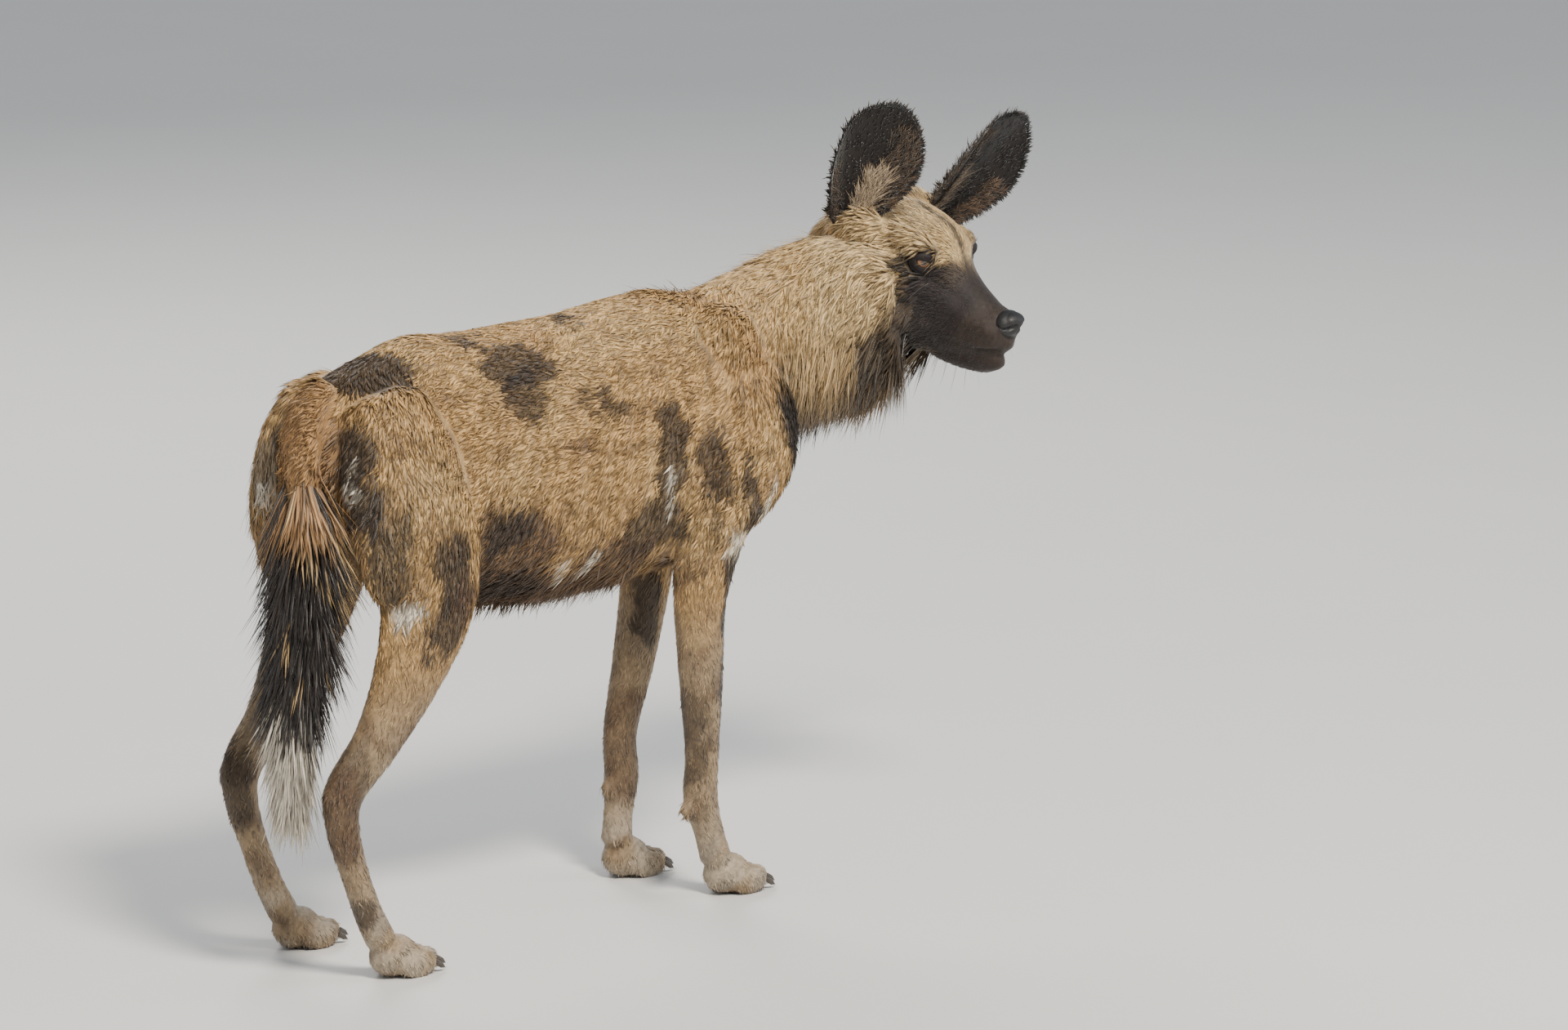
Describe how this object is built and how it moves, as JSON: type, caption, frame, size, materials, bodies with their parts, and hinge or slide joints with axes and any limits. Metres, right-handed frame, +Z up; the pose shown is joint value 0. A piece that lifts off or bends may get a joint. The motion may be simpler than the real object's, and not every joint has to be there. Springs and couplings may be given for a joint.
{
  "type": "african wild dog",
  "caption": "Life-size still model of a standing African wild dog, head turned to its right, with round ears, blotched coat, throat ruff and bushy pale-tipped tail.",
  "frame": {"origin": "on the floor, under the middle of the bounding box", "axes": "+X the way the body faces, +Y the animal's left side, +Z up"},
  "size_m": [1.0374, 0.3309, 0.8317],
  "materials": {
    "coat": "short tan fur with black and white blotches",
    "head_coat": "short cream and dark brown fur",
    "leg_coat": "short mottled grey-tan fur",
    "ear_fur": "thin dark fur with pale inner tufts",
    "dark_brush": "long dark hair",
    "pale_brush": "long pale hair",
    "nose": "moist pebbled black skin",
    "eye": "glossy amber-brown",
    "claw": "dark smooth horn"
  },
  "bodies": {
    "root": {"torso": "coat", "neck": "coat", "head": "head_coat", "ear_right": "ear_fur", "ear_left": "ear_fur", "nose": "nose", "eye_right": "eye", "eye_left": "eye", "tail_root": "coat", "tail_brush": "dark_brush", "tail_tip": "pale_brush", "claw_front_left_1": "claw", "claw_front_left_2": "claw", "claw_front_left_3": "claw", "claw_front_left_4": "claw", "claw_front_right_1": "claw", "claw_front_right_2": "claw", "claw_front_right_3": "claw", "claw_front_right_4": "claw", "claw_hind_left_1": "claw", "claw_hind_left_2": "claw", "claw_hind_left_3": "claw", "claw_hind_left_4": "claw", "claw_hind_right_1": "claw", "claw_hind_right_2": "claw", "claw_hind_right_3": "claw", "claw_hind_right_4": "claw", "lower_leg_front_left": "leg_coat", "lower_leg_front_right": "leg_coat", "lower_leg_hind_left": "leg_coat", "lower_leg_hind_right": "leg_coat", "paw_front_left": "leg_coat", "paw_front_right": "leg_coat", "paw_hind_left": "leg_coat", "paw_hind_right": "leg_coat", "upper_leg_front_left": "leg_coat", "upper_leg_front_right": "leg_coat", "upper_leg_hind_left": "leg_coat", "upper_leg_hind_right": "leg_coat"}
  },
  "joints": []
}
